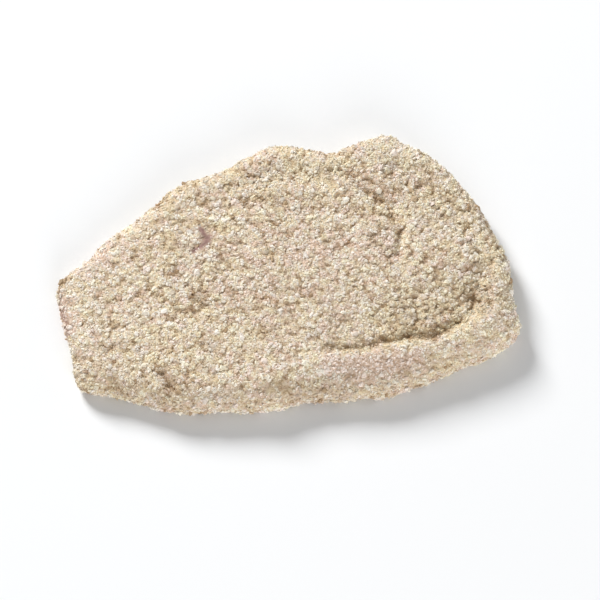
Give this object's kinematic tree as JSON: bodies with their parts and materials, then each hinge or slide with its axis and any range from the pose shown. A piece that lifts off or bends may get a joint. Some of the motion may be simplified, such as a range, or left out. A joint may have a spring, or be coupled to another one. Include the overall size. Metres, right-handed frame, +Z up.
{
  "type": "schnitzel",
  "caption": "Uncooked breaded cutlet: a flat, uneven slice of meat in a coarse coat of pale breadcrumbs, with a raised rim and crease along one side. It rests on its flat underside.",
  "frame": {"origin": "middle of the underside, on the surface that the cutlet lies on", "axes": "+X along the length from the tail to the broad end, +Y across from the front edge to the back, +Z up out of the coated top face"},
  "size_m": [0.1658, 0.1136, 0.0147],
  "materials": {
    "breadcrumb_coat": "matte, coarse and granular, cream to tan crumbs",
    "raw_meat": "dull pink, slightly moist, seen only where the coat is thin"
  },
  "bodies": {
    "root": {"schnitzel": "breadcrumb_coat"}
  },
  "joints": []
}
